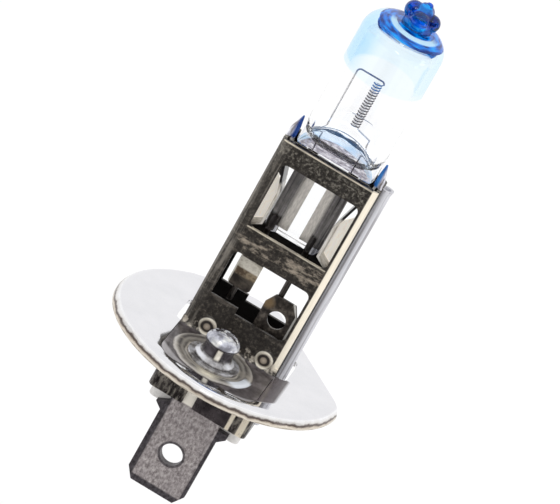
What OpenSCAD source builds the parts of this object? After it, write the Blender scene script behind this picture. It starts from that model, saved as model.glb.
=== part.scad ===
// Single-filament halogen headlight bulb with a round metal flange.
// Origin: centre of the flange's bulb-side face. +Z runs up the lamp axis to the glass tip,
// -Y is the side with the foot and the rivet. All sizes are in millimetres.

/* [Flange] */
// Outer diameter of the round flange
flange_d = 24.8; // [23.5:0.1:30]
// Sheet thickness of the flange
flange_t = 0.5; // [0.3:0.05:0.7]
// Outside radius of the rolled edge
flange_edge_r = 1.1; // [0.8:0.1:2]
// Distance from the lamp axis to the flat cut on the rim
flat_distance = 8.9; // [8:0.1:11]
// Direction of the flat cut, turned from +X towards +Y
flat_angle = 40; // [20:1:60]
// Gap left round the sleeve where it passes through the flange
opening_gap = 0.65; // [0.3:0.05:1]
// Extra length of the flange opening behind the sleeve
opening_back = 1.3; // [0.5:0.1:2]

/* [Sleeve] */
// Outside width of the sleeve
sleeve_w = 10.5; // [10:0.1:12.6]
// Outside depth of the sleeve
sleeve_depth = 4.4; // [4:0.1:5.3]
// Height of the sleeve's top above the flange
sleeve_top = 21.65; // [20.5:0.1:23]
// Sheet thickness of the sleeve
sleeve_t = 0.35; // [0.25:0.01:0.45]
// Outside radius of the sleeve's corners
sleeve_corner_r = 0.65; // [0.5:0.05:1]
// Width of the windows
window_w = 8.4; // [6.5:0.1:8.6]
// Height of the lower window's sill above the flange
lower_sill = 3.5; // [3:0.1:4.2]
// Step up of that sill on its left side
sill_step = 0.7; // [0.3:0.1:1]
// Height of the lower window's head above the flange
lower_head = 9.35; // [8:0.1:10]
// Height of the upper window's sill above the flange
upper_sill = 12.2; // [11.4:0.1:13]
// Drop of the rear upper window's sill below the front one
rear_sill_drop = 0.4; // [0:0.1:1.2]
// Height of the upper window's head above the flange
upper_head = 19.5; // [17.5:0.1:19.8]
// Corner radius of the windows
window_r = 0.6; // [0.3:0.05:1]
// Depth of the lip folded in along the front and rear top edges
lip_depth = 0.95; // [0.5:0.05:1]
// Outside diameter of the rolled seam on the right side
seam_d = 1.15; // [1:0.05:1.3]
// How far the rolled seam runs below the flange
seam_tail = 6.2; // [3:0.1:7]

/* [Foot and rivet] */
// Reach of the foot in front of the lamp axis
foot_reach = 10.3; // [9.6:0.1:10.8]
// Corner radius of the foot
foot_r = 2; // [0.5:0.1:3]
// Inside radius of the bend between sleeve and foot
foot_bend_r = 0.8; // [0.3:0.05:0.8]
// Distance of the rivet in front of the lamp axis
rivet_y = 6; // [5.8:0.1:6.2]
// Sideways place of the rivet
rivet_x = -0.4; // [-1:0.1:1]
// Diameter of the rivet's upset end
rivet_head_d = 3.5; // [3:0.1:4]
// Height of the rivet above the foot
rivet_h = 3.15; // [2.3:0.05:3.4]
// Diameter of the rivet's shank
rivet_shank_d = 2; // [1.6:0.1:2.4]
// Outer diameter of the washer under the rivet
washer_d = 5.4; // [4.6:0.1:5.8]
// Thickness of that washer
washer_t = 0.25; // [0.15:0.05:0.4]
// Mean diameter of the bead pressed round the rivet
bead_d = 7.3; // [6.9:0.1:7.4]
// Width of that bead
bead_w = 1.2; // [0.8:0.1:1.3]
// Height of that bead
bead_h = 0.15; // [0.1:0.05:0.4]

/* [Glass] */
// Outer diameter of the quartz bulb
bulb_d = 8.4; // [8:0.1:9.6]
// Wall thickness of the quartz bulb
bulb_wall = 0.85; // [0.7:0.05:1.3]
// Height of the top of the glass dome above the flange
dome_top = 37.2; // [36:0.1:45]
// Edge radius of the glass dome
dome_r = 2.2; // [1.4:0.1:2.3]
// Edge radius where the bulb's slanted lower faces meet its wall
shoulder_r = 0.4; // [0.2:0.1:0.8]
// Diameter of the closed exhaust tip
tip_d = 3.8; // [3:0.1:4.2]
// Length of the closed exhaust tip
tip_len = 2.7; // [2:0.1:3.4]
// Sideways place of the closed exhaust tip, which is never quite central
tip_x = 0.45; // [-0.5:0.05:0.5]
// Width of the flattened pinch seal
pinch_w = 5.9; // [5.6:0.1:7.1]
// Thickness of the pinch seal at its side ridges
pinch_t = 2; // [1.8:0.1:2.3]
// Depth of the flat pressed into each face of the pinch
pinch_groove = 0.35; // [0.1:0.05:0.5]
// Height of the pinch's lower end above the flange
pinch_base = 12.4; // [11.8:0.1:13]

/* [Filament and leads] */
// Height of the filament's lower end above the flange
coil_base = 25.5; // [25:0.1:26]
// Length of the filament coil
coil_len = 5.2; // [4:0.1:5.5]
// Outer diameter of the filament coil
coil_d = 0.95; // [0.8:0.05:1.3]
// Diameter of the filament wire
coil_wire_d = 0.14; // [0.12:0.01:0.2]
// Number of turns in the filament coil
coil_turns = 17; // [12:1:19]
// Diameter of the molybdenum legs that carry the filament
leg_d = 0.16; // [0.12:0.01:0.3]
// Distance of the long leg from the lamp axis
long_leg_x = 2.35; // [1.9:0.05:2.4]
// Distance of the short leg from the lamp axis
short_leg_x = 1.9; // [1.7:0.05:2]
// Width of each molybdenum foil
foil_w = 2.1; // [1.6:0.05:2.1]
// Thickness of each molybdenum foil
foil_t = 0.06; // [0.04:0.01:0.1]
// Distance of each foil's middle from the lamp axis
foil_x = 1.7; // [1.5:0.05:1.75]
// Diameter of the outer lead wires
lead_d = 0.6; // [0.4:0.05:0.7]

/* [Terminal] */
// Sideways place of the terminal's centre line
terminal_x = 0.4; // [0:0.1:0.5]
// Width of the blade
blade_w = 6.3; // [6.3, 4.8]
// Thickness of the blade
blade_t = 0.8; // [0.5:0.1:0.8]
// Distance of the blade's end below the flange
blade_end = 16.9; // [15:0.1:20]
// Distance of the blade's hole below the flange
blade_hole_z = 12.4; // [11:0.1:13]
// Diameter of the blade's hole
blade_hole_d = 2.3; // [1.2:0.1:2.4]
// Height of the blade's end corners
blade_taper = 1.2; // [0.5:0.1:1.5]
// Width of the ceramic insulator
insulator_w = 10; // [8.3:0.1:10]
// Distance of the insulator's lower end below the flange
insulator_end = 8.4; // [7.8:0.1:9]
// Height of the metal band round the insulator
band_h = 3.5; // [2.5:0.1:4]
// Sheet thickness of the band
band_t = 0.35; // [0.25:0.01:0.45]
// Width of the inner contact strip
strip_w = 3.5; // [2.6:0.1:3.6]
// Height of the inner contact strip's top above the flange
strip_top = 7; // [6:0.1:8]
// Diameter of the hole in the inner contact strip
strip_hole_d = 1.85; // [1:0.05:2]
// Sheet thickness of the inner contact strip and the ground tab
strip_t = 0.3; // [0.2:0.01:0.4]

/* [Hidden] */
$fn = 48;

eps = 0.01;
slip = 0.05;               // gap between pieces that are pushed together
flange_r = flange_d / 2;
sleeve_hw = sleeve_w / 2;
sleeve_hd = sleeve_depth / 2;
inner_hw = sleeve_hw - sleeve_t;
inner_hd = sleeve_hd - sleeve_t;
seam_r = seam_d / 2;
seam_wall = 0.28;
seam_top = sleeve_top + 0.15;
seam_flare = 0.1;                // growth of the seam's radius at its flared mouth
seam_flare_h = 0.5;
window_x = 0.2;                  // sideways place of the windows
rear_tail_inset = 1;             // the rear wall runs through the flange this far in from each side
rear_tail = 1.2;
gusset_r = 0.9;
gusset_h = 0.3;
gusset_places = [-2.9, 3.7];
seam_x = sleeve_hw + seam_r - sleeve_t / 2;
opening_x0 = -sleeve_hw - opening_gap;
opening_x1 = seam_x + seam_r + opening_gap / 3;
opening_y1 = sleeve_hd + opening_back;
bulb_r = bulb_d / 2;
bore_r = bulb_r - bulb_wall;
pinch_hw = pinch_w / 2;
pinch_ht = pinch_t / 2;
groove_hw = 1.75;
neck_z0 = sleeve_top - 1.4;      // the glass starts to widen here, inside the sleeve
neck_z1 = sleeve_top + 0.4;
shoulder_z = sleeve_top + slip;  // and to thicken here, clear of the folded lips
shoulder_slope = 1.23;           // rise of the slanted lower faces for each step outwards
shoulder_wall = bulb_wall * sqrt(1 + 1 / (shoulder_slope * shoulder_slope));  // measured along Y
bore_z0 = shoulder_z + bulb_wall + 0.2;
bore_z1 = dome_top - 1.35;
bore_end_r = 1.3;
exhaust_r = 0.5;
coil_r = (coil_d - coil_wire_d) / 2;
coil_top = coil_base + coil_len;
leg_r = leg_d / 2;
leg_bend_r = 0.4;
leg_top = coil_top + 0.3;
lead_r = lead_d / 2;
foil_z0 = pinch_base + 0.5;
foil_z1 = neck_z0 - 0.2;
foil_lap = 1;                    // length of each weld between a wire and its foil
leg_y = -foil_t / 2 - leg_r;
lead_y = -foil_t / 2 - lead_r;
strip_y1 = lead_y - lead_r;      // the strip and the tab lie on the front of the lead wires
strip_y0 = strip_y1 - strip_t;
strip_x = terminal_x + 2.2;
tab_x0 = -3.3;
tab_x1 = -0.9;
tab_z0 = lower_sill + 2;
tab_z1 = lower_head + 1.2;
underside = -sleeve_t - flange_t;      // lower face of the pan that takes the foot
tail_x = terminal_x + insulator_w / 2 + band_t + 2 * slip;
insulator_y0 = -sleeve_hd;
insulator_y1 = inner_hd - 0.15;
insulator_r = 0.6;
insulator_z1 = underside;
lug_h = 1.4;
lug_r = 2.5;
blade_y0 = insulator_y0 - blade_t;
blade_top = insulator_z1 - lug_h - 0.4;
band_end = insulator_end - 1.5;

// Points on an arc about c from angle a0 to angle a1
function arc(c, r, a0, a1, n = 8) =
    [for (i = [0:n]) c + r * [cos(a0 + (a1 - a0) * i / n), sin(a0 + (a1 - a0) * i / n)]];

// Half outline in Y and Z, closed with its own mirror image
function mirrored(half) =
    concat(half, [for (i = [len(half) - 1:-1:0]) [-half[i].x, half[i].y]]);

// Outline that swings smoothly outwards and upwards from p to q, vertical at both ends
function swing(p, q, n = 6) =
    let (dx = q.x - p.x, dz = q.y - p.y, r = (dx * dx + dz * dz) / (4 * dx), t = 2 * atan(dx / dz))
    concat(arc(p + [r, 0], r, 180, 180 - t, n), arc(q - [r, 0], r, -t, 0, n));

// Rectangle from p to q with round corners, drawn from squares and circles
module round_rect(p, q, r) {
    translate([p.x + r, p.y])
        square([q.x - p.x - 2 * r, q.y - p.y]);
    translate([p.x, p.y + r])
        square([q.x - p.x, q.y - p.y - 2 * r]);
    for (x = [p.x + r, q.x - r], y = [p.y + r, q.y - r])
        translate([x, y])
            circle(r);
}

// Turns a shape drawn in X and Z so that it stands upright and runs from y0 back to y1
module upright(y0, y1) {
    translate([0, y1, 0])
        rotate([90, 0, 0])
            linear_extrude(y1 - y0)
                children();
}

// Turns a shape drawn in Y and Z so that it runs from x0 to x1
module crosswise(x0, x1) {
    translate([x0, 0, 0])
        rotate([90, 0, 90])
            linear_extrude(x1 - x0)
                children();
}

// Straight round wire from p to q
module wire(p, q, r) {
    d = q - p;
    translate(p)
        rotate([0, acos(d.z / norm(d)), atan2(d.y, d.x)])
            cylinder(r = r, h = norm(d));
}

// Quarter bend of round wire in the XZ plane about c, from angle a to angle a + 90
module wire_bend(c, bend_r, a, r) {
    translate(c)
        rotate([90, -a, 0])
            mirror([0, 0, 1])
                rotate_extrude(angle = 90)
                    translate([bend_r, 0])
                        circle(r);
}

// ---- flange ----

module foot_outline(grow) {
    round_rect([-sleeve_hw - grow, -foot_reach - grow], [sleeve_hw + grow, -inner_hd], foot_r);
    translate([-sleeve_hw - grow, -inner_hd - foot_r])
        square([sleeve_w + 2 * grow, foot_r]);
}

// Cross-section of the sheet: flat disc with a rolled-down edge
module flange_section() {
    edge_x = flange_r - flange_edge_r;
    translate([0, -flange_t])
        square([edge_x, flange_t]);
    intersection() {
        translate([edge_x, -flange_edge_r])
            difference() {
                circle(flange_edge_r);
                circle(flange_edge_r - flange_t);
            }
        translate([edge_x, -flange_edge_r])
            square(flange_edge_r);
    }
}

module mounting_flange() {
    color([0.83, 0.83, 0.85])
        difference() {
            union() {
                rotate_extrude($fn = 96)
                    flange_section();
                translate([0, 0, underside])
                    linear_extrude(-underside - eps)
                        foot_outline(flange_t - slip);
            }
            // pan that takes the foot flush with the face
            translate([0, 0, -sleeve_t])
                linear_extrude(sleeve_t + 1)
                    foot_outline(slip);
            // opening for the sleeve
            translate([0, 0, underside - 1])
                linear_extrude(2 - underside)
                    round_rect([opening_x0, -inner_hd], [opening_x1, opening_y1], sleeve_corner_r);
            translate([rivet_x, -rivet_y, underside - 1])
                cylinder(d = rivet_shank_d + 2 * slip, h = 2 - underside);
            // flat cut on the rim
            rotate(flat_angle)
                translate([flat_distance, -flange_r, -flange_edge_r - 1])
                    cube([flange_r, flange_d, flange_edge_r + 2]);
        }
}

// ---- sleeve ----

module window(z0, z1, step) {
    difference() {
        round_rect([window_x - window_w / 2, z0], [window_x + window_w / 2, z1], window_r);
        if (step > 0)
            translate([-window_w / 2 - 1, z0 - 1])
                square([window_w / 2, step + 1]);
    }
}

module lip(side) {
    // mitred lip folded in from the top of the front or rear wall
    translate([0, 0, sleeve_top - sleeve_t])
        linear_extrude(sleeve_t)
            polygon([
                [-inner_hw, side * (inner_hd + eps)],
                [inner_hw, side * (inner_hd + eps)],
                [inner_hw - lip_depth, side * (sleeve_hd - lip_depth)],
                [-inner_hw + lip_depth, side * (sleeve_hd - lip_depth)]
            ]);
}

module gusset(x) {
    // round stiffening dimple pressed out of the wall just above its bend
    translate([x, -sleeve_hd + eps, foot_bend_r + gusset_r / 2])
        rotate([90, 0, 0])
            cylinder(r1 = gusset_r, r2 = gusset_r - gusset_h, h = gusset_h);
}

module bead() {
    // raised ring pressed round the rivet
    bead_r = (bead_w * bead_w / 4 + bead_h * bead_h) / (2 * bead_h);
    translate([rivet_x, -rivet_y, 0])
        rotate_extrude()
            intersection() {
                translate([bead_d / 2, bead_h - bead_r])
                    circle(bead_r);
                translate([(bead_d - bead_w) / 2, -sleeve_t / 2])
                    square([bead_w, sleeve_t / 2 + bead_h]);
            }
}

module foot() {
    bend_y = -sleeve_hd - foot_bend_r;
    difference() {
        union() {
            translate([0, 0, -sleeve_t])
                linear_extrude(sleeve_t)
                    difference() {
                        foot_outline(0);
                        translate([-sleeve_w, bend_y])
                            square([2 * sleeve_w, sleeve_w]);
                    }
            bead();
        }
        translate([rivet_x, -rivet_y, -1])
            cylinder(d = rivet_shank_d + 2 * slip, h = 2);
    }
    crosswise(-sleeve_hw, sleeve_hw)
        intersection() {
            translate([bend_y, foot_bend_r])
                difference() {
                    circle(foot_bend_r + sleeve_t);
                    circle(foot_bend_r);
                }
            translate([bend_y - eps, -sleeve_t])
                square(foot_bend_r + sleeve_t + eps);
        }
    for (x = gusset_places)
        gusset(x);
}

module holder_sleeve() {
    color([0.42, 0.4, 0.37]) {
        difference() {
            translate([0, 0, foot_bend_r])
                linear_extrude(sleeve_top - foot_bend_r)
                    difference() {
                        round_rect([-sleeve_hw, -sleeve_hd], [sleeve_hw, sleeve_hd], sleeve_corner_r);
                        round_rect([-inner_hw, -inner_hd], [inner_hw, inner_hd], sleeve_corner_r - sleeve_t);
                    }
            upright(-sleeve_hd - 1, 0)
                window(upper_sill, upper_head, 0);
            upright(0, sleeve_hd + 1)
                window(upper_sill - rear_sill_drop, upper_head, 0);
            upright(-sleeve_hd - 1, sleeve_hd + 1)
                window(lower_sill, lower_head, sill_step);
        }
        // rear wall runs on through the flange opening
        translate([rear_tail_inset - sleeve_hw, inner_hd, -rear_tail])
            cube([sleeve_w - 2 * rear_tail_inset, sleeve_t, foot_bend_r + rear_tail + eps]);
        lip(-1);
        lip(1);
        foot();
        // rolled seam, flared at its top and cut back to its outer side beside the insulator
        difference() {
            translate([seam_x, 0, 0])
                rotate_extrude()
                    polygon([
                        [seam_r - seam_wall, -seam_tail],
                        [seam_r, -seam_tail],
                        [seam_r, seam_top - seam_flare_h],
                        [seam_r + seam_flare, seam_top],
                        [seam_r + seam_flare - seam_wall, seam_top],
                        [seam_r - seam_wall, seam_top - seam_flare_h]
                    ]);
            translate([0, -seam_r - 1, -seam_tail - 1])
                cube([tail_x, seam_d + 2, seam_tail + 1 + underside + slip]);
        }
    }
}

// ---- clips that hold the pinch ----

// Right-hand clip: a bowed leaf between the side wall and the pinch, with a pointed ear on top
module pinch_clip() {
    leaf_t = 0.25;
    leaf_hw = 1.1;
    root_z = sleeve_top - 1;
    z0 = upper_sill - 0.6;
    z1 = (upper_sill + upper_head) / 2 + 0.3;
    wall_x = inner_hw - slip;
    touch_x = pinch_hw + slip;
    top_x = inner_hw - 0.35;
    outer = [[wall_x, z0], [touch_x + leaf_t, z0 + 1], [touch_x + leaf_t, z1], [top_x, root_z]];
    inner = [for (i = [3:-1:0]) outer[i] - [leaf_t, 0]];
    upright(-leaf_hw, leaf_hw)
        polygon(concat(outer, inner));
    // cheek that joins the leaf to the side wall
    upright(leaf_hw - leaf_t, leaf_hw)
        polygon([[wall_x, z0], [touch_x + leaf_t / 2, z0 + 1], [touch_x + leaf_t / 2, z1], [wall_x, z1 + 1.6]]);
    upright(-leaf_hw, 0.2)
        polygon([
            [top_x - leaf_t, root_z - eps],
            [top_x, root_z - eps],
            [top_x + 0.15, sleeve_top + 0.3],
            [top_x + 0.15 - leaf_t, sleeve_top + 0.3]
        ]);
    translate([top_x + 0.15, -1, sleeve_top + 0.2])
        rotate(-35)
            upright(-leaf_t / 2, leaf_t / 2)
                polygon([[-0.4, 0], [0.6, 0], [0.45, 1], [-0.2, 2.4], [-0.4, 1.2]]);
}

module left_pinch_clip() {
    color([0.6, 0.63, 0.72])
        mirror([1, 0, 0])
            pinch_clip();
}

module right_pinch_clip() {
    color([0.6, 0.63, 0.72])
        pinch_clip();
}

// ---- glass ----

module envelope_body() {
    // half outline in Y and Z: a thin pinch, then the slanted lower face of the bulb
    lean = 90 - atan(shoulder_slope);
    start_y = bulb_r + eps - shoulder_r * (1 - cos(lean));
    rise = (start_y - pinch_ht) * shoulder_slope + shoulder_r * sin(lean);
    edge = concat(
        [[pinch_ht, pinch_base - 1], [pinch_ht, shoulder_z]],
        arc([bulb_r + eps - shoulder_r, shoulder_z + rise], shoulder_r, -lean, 0),
        [[bulb_r + eps, dome_top + 1]]
    );
    intersection() {
        rotate_extrude()
            polygon(concat(
                [[0, pinch_base], [pinch_hw, pinch_base]],
                swing([pinch_hw, neck_z0], [bulb_r, neck_z1]),
                arc([bulb_r - dome_r, dome_top - dome_r], dome_r, 0, 90),
                [[0, dome_top]]
            ));
        crosswise(-bulb_d, bulb_d)
            polygon(mirrored(edge));
    }
}

// Hollow of the bulb, squeezed between two slanted faces at its lower end
module bore() {
    low_y = pinch_ht - shoulder_wall + (bore_z0 - shoulder_z) / shoulder_slope;
    wide_z = bore_z0 + (bulb_r - low_y) * shoulder_slope;
    intersection() {
        rotate_extrude()
            polygon(concat(
                [[0, bore_z0]],
                arc([bore_r - bore_end_r, bore_z0 + bore_end_r], bore_end_r, -90, 0),
                arc([bore_r - bore_end_r, bore_z1 - bore_end_r], bore_end_r, 0, 90),
                [[0, bore_z1]]
            ));
        crosswise(-bulb_d, bulb_d)
            polygon(mirrored([[low_y, bore_z0 - 1], [low_y, bore_z0], [bulb_r, wide_z], [bulb_r, dome_top]]));
    }
}

module quartz_envelope() {
    color([0.86, 0.92, 1, 0.4])
        difference() {
            envelope_body();
            bore();
            // exhaust hole that the tip closes
            translate([tip_x, 0, bore_z1 - 1])
                cylinder(r = exhaust_r, h = dome_top - bore_z1 + 2);
            // flats between the two side ridges of the pinch
            for (y = [-pinch_ht - 1, pinch_ht - pinch_groove])
                translate([-groove_hw, y, pinch_base - 1])
                    cube([2 * groove_hw, 1 + pinch_groove, neck_z0 - pinch_base]);
            sealed_metal();
        }
}

// Everything that the quartz is sealed onto, a hair larger than the metal itself
module sealed_metal() {
    for (side = [-1, 1])
        foil(side);
    for (x = [-long_leg_x, short_leg_x]) {
        wire([x, lead_y, 0], [x, lead_y, foil_z0 + foil_lap], lead_r + eps);
        wire([x, leg_y, foil_z1 - foil_lap], [x, leg_y, bore_z0 + 0.6], leg_r + eps);
    }
}

module exhaust_tip() {
    // sealed stub of the exhaust tube: a round stem, a ring of melted lobes and a small peak
    lobe_r = tip_d * 0.24;
    peak_r = 0.7;
    lobe_z = tip_len * 0.42;
    color([0.05, 0.2, 0.65])
        translate([tip_x, 0, dome_top]) {
            cylinder(r = tip_d / 2 - lobe_r * 0.4, h = lobe_z);
            for (a = [0:90:270])
                rotate(a)
                    translate([tip_d / 2 - lobe_r, 0, lobe_z])
                        sphere(lobe_r);
            cylinder(r = peak_r, h = tip_len - peak_r);
            translate([0, 0, tip_len - peak_r])
                sphere(peak_r);
        }
}

// ---- filament and leads ----

module filament_coil() {
    seg = 12;
    sides = 6;
    n = coil_turns * seg;
    z0 = coil_base + coil_wire_d / 2;
    rise = coil_len - coil_wire_d;
    points = [
        for (i = [0:n], j = [0:sides - 1])
            let (a = 360 * i / seg, b = 360 * j / sides, r = coil_r + coil_wire_d / 2 * cos(b))
            [r * cos(a), r * sin(a), z0 + rise * i / n + coil_wire_d / 2 * sin(b)]
    ];
    walls = [
        for (i = [0:n - 1], j = [0:sides - 1])
            let (k = (j + 1) % sides)
            [i * sides + j, i * sides + k, (i + 1) * sides + k, (i + 1) * sides + j]
    ];
    color([0.45, 0.44, 0.43])
        polyhedron(
            points,
            concat(walls, [[for (j = [sides - 1:-1:0]) j]], [[for (j = [0:sides - 1]) n * sides + j]])
        );
}

module long_filament_leg() {
    hook_r = 0.3;
    hook_x = coil_r + 0.1;
    color([0.5, 0.5, 0.52]) {
        wire([-long_leg_x, leg_y, foil_z1 - foil_lap], [-long_leg_x, leg_y, leg_top - leg_bend_r], leg_r);
        wire_bend([-long_leg_x + leg_bend_r, leg_y, leg_top - leg_bend_r], leg_bend_r, 90, leg_r);
        wire([-long_leg_x + leg_bend_r, leg_y, leg_top], [hook_x - hook_r, leg_y, leg_top], leg_r);
        wire_bend([hook_x - hook_r, leg_y, leg_top - hook_r], hook_r, 0, leg_r);
    }
}

module short_filament_leg() {
    knee = [short_leg_x, leg_y, coil_base - 0.3];
    color([0.5, 0.5, 0.52]) {
        wire([short_leg_x, leg_y, foil_z1 - foil_lap], knee, leg_r);
        translate(knee)
            sphere(leg_r * 1.05);
        wire(knee, [coil_r + 0.1, leg_y, coil_base + coil_wire_d / 2], leg_r);
    }
}

module foil(side) {
    translate([side * foil_x - foil_w / 2, -foil_t / 2, foil_z0])
        cube([foil_w, foil_t, foil_z1 - foil_z0]);
}

module left_foil() {
    color([0.62, 0.62, 0.6])
        foil(-1);
}

module right_foil() {
    color([0.62, 0.62, 0.6])
        foil(1);
}

// Lead wire from its foil down to height z
module outer_lead(x, z) {
    wire([x, lead_y, z], [x, lead_y, foil_z0 + foil_lap], lead_r);
}

module left_outer_lead() {
    color([0.45, 0.44, 0.42])
        outer_lead(-long_leg_x, lower_sill + 0.3);
}

module right_outer_lead() {
    color([0.45, 0.44, 0.42])
        outer_lead(short_leg_x, strip_top - 1.4);
}

module ground_tab() {
    // plate on the left lead, with an arm to the sleeve's side wall
    arm_h = 1;
    color([0.75, 0.7, 0.6]) {
        upright(strip_y0, strip_y1) {
            round_rect([tab_x0, tab_z0], [tab_x1, tab_z1], 0.4);
            translate([-inner_hw + slip, tab_z1 - arm_h])
                square([inner_hw - slip + tab_x0 + 1, arm_h]);
        }
        translate([-inner_hw + slip, strip_y0, tab_z1 - arm_h])
            cube([strip_t, 2, arm_h]);
    }
}

// ---- terminal ----

module contact_strip() {
    hole_z = strip_top - 2.35;
    neck = strip_w * 0.63 / 2;
    color([0.5, 0.46, 0.4])
        difference() {
            upright(strip_y0, strip_y1)
                polygon([
                    [strip_x - strip_w / 2, blade_top],
                    [strip_x + strip_w / 2, blade_top],
                    [strip_x + strip_w / 2, strip_top - 1.15],
                    [strip_x + neck, strip_top],
                    [strip_x - neck, strip_top],
                    [strip_x - strip_w / 2, strip_top - 1.15]
                ]);
            translate([strip_x + 0.1, strip_y1 + 1, hole_z])
                rotate([90, 0, 0])
                    cylinder(d = strip_hole_d, h = strip_t + 2);
        }
}

module contact_rivet() {
    // head upset below the lug, shank, then a skirted barrel under a domed cap
    r = rivet_head_d / 2;
    shank_r = rivet_shank_d / 2;
    barrel_r = r * 0.86;
    skirt_r = r * 1.2;
    low = underside - lug_h;
    color([0.8, 0.8, 0.82])
        translate([rivet_x, -rivet_y, 0])
            rotate_extrude()
                polygon([
                    [0, low - 0.6],
                    [r - 0.4, low - 0.6],
                    [r, low - 0.2],
                    [r, low],
                    [shank_r, low],
                    [shank_r, washer_t],
                    [skirt_r, washer_t],
                    [skirt_r, washer_t + 0.2],
                    [barrel_r + 0.1, washer_t + 0.5],
                    [barrel_r, washer_t + 0.8],
                    [barrel_r, rivet_h - 1.1],
                    [r, rivet_h - 0.7],
                    [r * 0.92, rivet_h - 0.4],
                    [r * 0.72, rivet_h - 0.12],
                    [r * 0.45, rivet_h],
                    [0, rivet_h]
                ]);
}

module rivet_washer() {
    color([0.78, 0.78, 0.76])
        translate([rivet_x, -rivet_y, 0])
            difference() {
                cylinder(d = washer_d, h = washer_t);
                translate([0, 0, -1])
                    cylinder(d = rivet_shank_d + 2 * slip, h = washer_t + 2);
            }
}

module insulator_block() {
    hw = insulator_w / 2;
    body_z0 = -insulator_end;
    color([0.86, 0.84, 0.8])
        difference() {
            union() {
                translate([terminal_x, 0, body_z0])
                    linear_extrude(insulator_z1 - body_z0)
                        round_rect([-hw, insulator_y0], [hw, insulator_y1], insulator_r);
                // lug under the flange that the rivet holds
                translate([0, 0, insulator_z1 - lug_h])
                    linear_extrude(lug_h) {
                        translate([rivet_x, -rivet_y])
                            circle(lug_r);
                        translate([rivet_x - lug_r, -rivet_y])
                            square([2 * lug_r, rivet_y + insulator_y0 + insulator_r]);
                    }
            }
            translate([rivet_x, -rivet_y, insulator_z1 - lug_h - 1])
                cylinder(d = rivet_shank_d + 2 * slip, h = lug_h + 2);
            // slot for the blade's inner leg and the contact strip standing on it
            translate([strip_x - strip_w / 2 - slip, insulator_y0 - 1, blade_top - blade_t - slip])
                cube([strip_w + 2 * slip, strip_y1 - insulator_y0 + 1 + slip, blade_t + 2 * slip]);
            translate([strip_x - strip_w / 2 - slip, strip_y0 - slip, blade_top])
                cube([strip_w + 2 * slip, strip_t + 2 * slip, insulator_z1 - blade_top + 1]);
        }
}

module insulator_band() {
    // strip wrapped round the block, with a gap in front where its ends meet
    hw = insulator_w / 2;
    y0 = blade_y0 - band_t - slip;
    y1 = insulator_y1 + slip;
    gap_x0 = terminal_x - 1.6;
    gap_x1 = terminal_x - 0.5;
    gap_y1 = y0 + band_t + slip / 2;
    color([0.45, 0.43, 0.41])
        translate([0, 0, -band_end])
            linear_extrude(band_h)
                difference() {
                    translate([terminal_x, 0])
                        round_rect([-hw - slip - band_t, y0], [hw + slip + band_t, y1 + band_t], insulator_r);
                    translate([terminal_x, 0])
                        round_rect([-hw - slip, y0 + band_t], [hw + slip, y1], insulator_r - band_t / 2);
                    polygon([[gap_x0, y0 - 1], [gap_x1, y0 - 1], [gap_x1, gap_y1], [gap_x0, gap_y1]]);
                }
}

module blade_terminal() {
    hw = blade_w / 2;
    ear = 0.75;
    ear_z = -insulator_end + 0.8;
    color([0.55, 0.54, 0.53]) {
        difference() {
            upright(blade_y0, insulator_y0 - eps)
                polygon([
                    [terminal_x - hw + 0.4, blade_top],
                    [terminal_x + hw - 0.4, blade_top],
                    [terminal_x + hw - 0.4, ear_z],
                    [terminal_x + hw + ear, ear_z],
                    [terminal_x + hw + ear, ear_z - 0.5],
                    [terminal_x + hw, ear_z - 1.2],
                    [terminal_x + hw, -blade_end + blade_taper],
                    [terminal_x + hw - 0.8, -blade_end],
                    [terminal_x - hw + 0.8, -blade_end],
                    [terminal_x - hw, -blade_end + blade_taper],
                    [terminal_x - hw, ear_z - 1.2],
                    [terminal_x - hw - ear, ear_z - 0.6],
                    [terminal_x - hw + 0.4, ear_z]
                ]);
            translate([terminal_x, 0, -blade_hole_z])
                rotate([90, 0, 0])
                    cylinder(d = blade_hole_d, h = 2 * sleeve_depth);
        }
        // inner leg that carries the contact strip
        translate([strip_x - strip_w / 2, insulator_y0 - 2 * eps, blade_top - blade_t])
            cube([strip_w, strip_y1 - insulator_y0 + 2 * eps, blade_t]);
    }
}

mounting_flange();
holder_sleeve();
left_pinch_clip();
right_pinch_clip();
quartz_envelope();
exhaust_tip();
filament_coil();
long_filament_leg();
short_filament_leg();
left_foil();
right_foil();
left_outer_lead();
right_outer_lead();
ground_tab();
contact_strip();
contact_rivet();
rivet_washer();
insulator_block();
insulator_band();
blade_terminal();
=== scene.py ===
"""Halogen headlight bulb: metal base, folded sleeve and blue-tinted quartz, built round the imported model."""

import math

import bmesh
import bpy
from mathutils import Matrix, Vector


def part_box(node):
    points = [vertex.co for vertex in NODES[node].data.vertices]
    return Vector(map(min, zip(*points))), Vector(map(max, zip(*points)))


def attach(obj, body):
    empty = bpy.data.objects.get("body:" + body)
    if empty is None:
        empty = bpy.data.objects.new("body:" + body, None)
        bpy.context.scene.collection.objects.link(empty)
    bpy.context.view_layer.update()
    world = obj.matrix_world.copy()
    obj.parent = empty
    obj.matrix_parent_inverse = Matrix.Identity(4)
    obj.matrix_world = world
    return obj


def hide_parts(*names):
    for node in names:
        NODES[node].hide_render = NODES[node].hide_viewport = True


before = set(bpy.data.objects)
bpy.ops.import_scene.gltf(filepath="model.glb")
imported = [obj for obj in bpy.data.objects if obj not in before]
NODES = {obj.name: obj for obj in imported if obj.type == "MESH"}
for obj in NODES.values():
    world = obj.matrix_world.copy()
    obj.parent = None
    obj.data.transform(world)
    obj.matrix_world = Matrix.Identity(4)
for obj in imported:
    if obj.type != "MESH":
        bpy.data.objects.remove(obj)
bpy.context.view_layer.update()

MM = 0.001


# ---------------------------------------------------------------- measures

def box_mm(node):
    """Lowest and highest corner of a frame node, in millimetres."""
    low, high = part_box(node)
    return low / MM, high / MM


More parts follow.
